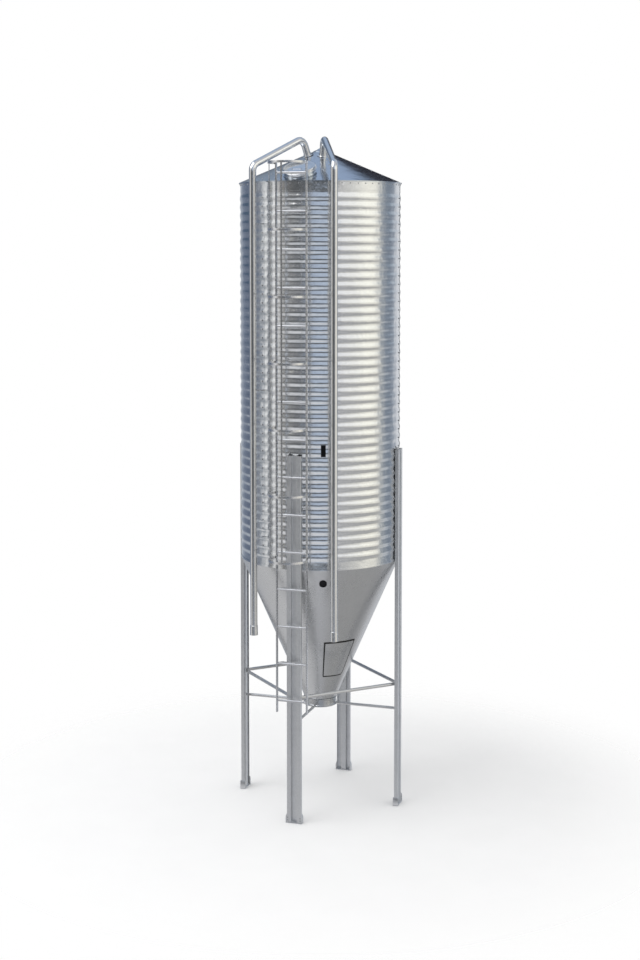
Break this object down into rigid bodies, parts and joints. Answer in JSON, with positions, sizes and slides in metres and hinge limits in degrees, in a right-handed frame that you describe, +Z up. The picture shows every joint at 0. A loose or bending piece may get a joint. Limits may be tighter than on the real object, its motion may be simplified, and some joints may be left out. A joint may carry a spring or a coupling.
{
  "type": "hopper-bottom grain silo",
  "caption": "Tall corrugated steel silo with a cone roof and steep hopper on channel legs, with a caged ladder and filling pipes.",
  "frame": {"origin": "middle of the footprint's box, on the ground; the silo's own axis stands at x = 0, y = 0.21075 m, because the ladder cage reaches out on one side", "axes": "+Z up along the silo, -Y towards the ladder side, +X to the right of someone facing the ladder"},
  "size_m": [2.112, 2.5335, 8.3365],
  "materials": {
    "galvanised_wall": "hot-dip galvanised, bright",
    "galvanised_roof": "hot-dip galvanised, bluish",
    "galvanised_hopper": "hot-dip galvanised, satin",
    "galvanised_frame": "hot-dip galvanised, matt",
    "galvanised_pipe": "galvanised tube, bright",
    "black_plastic": "gloss",
    "dark_glass": "gloss"
  },
  "bodies": {
    "root": {"air_pipe": "galvanised_pipe", "air_pipe_coupling": "galvanised_pipe", "base_ring": "galvanised_wall", "eave_ring": "galvanised_wall", "fill_pipe": "galvanised_pipe", "fill_pipe_coupling": "galvanised_pipe", "foot_back": "galvanised_frame", "foot_front": "galvanised_frame", "foot_left": "galvanised_frame", "foot_right": "galvanised_frame", "hopper_hatch_cover": "galvanised_hopper", "hopper_panel_back_left": "galvanised_hopper", "hopper_panel_back_right": "galvanised_hopper", "hopper_panel_front_left": "galvanised_hopper", "hopper_panel_hatch": "galvanised_hopper", "hopper_sight_glass": "dark_glass", "ladder": "galvanised_pipe", "leg_back": "galvanised_frame", "leg_front": "galvanised_frame", "leg_left": "galvanised_frame", "leg_right": "galvanised_frame", "outlet_collar": "galvanised_hopper", "roof_cap": "galvanised_roof", "roof_cone": "galvanised_roof", "roof_hatch_collar": "galvanised_roof", "roof_hatch_lid": "galvanised_roof", "safety_cage": "galvanised_pipe", "strut_back": "galvanised_frame", "strut_front": "galvanised_frame", "strut_left": "galvanised_frame", "strut_right": "galvanised_frame", "tie_back_left": "galvanised_frame", "tie_back_right": "galvanised_frame", "tie_front_left": "galvanised_frame", "tie_front_right": "galvanised_frame", "wall_sheet_1a": "galvanised_wall", "wall_sheet_1b": "galvanised_wall", "wall_sheet_1c": "galvanised_wall", "wall_sheet_2a": "galvanised_wall", "wall_sheet_2b": "galvanised_wall", "wall_sheet_2c": "galvanised_wall", "wall_sheet_3a": "galvanised_wall", "wall_sheet_3b": "galvanised_wall", "wall_sheet_3c": "galvanised_wall", "wall_window": "black_plastic"}
  },
  "joints": []
}
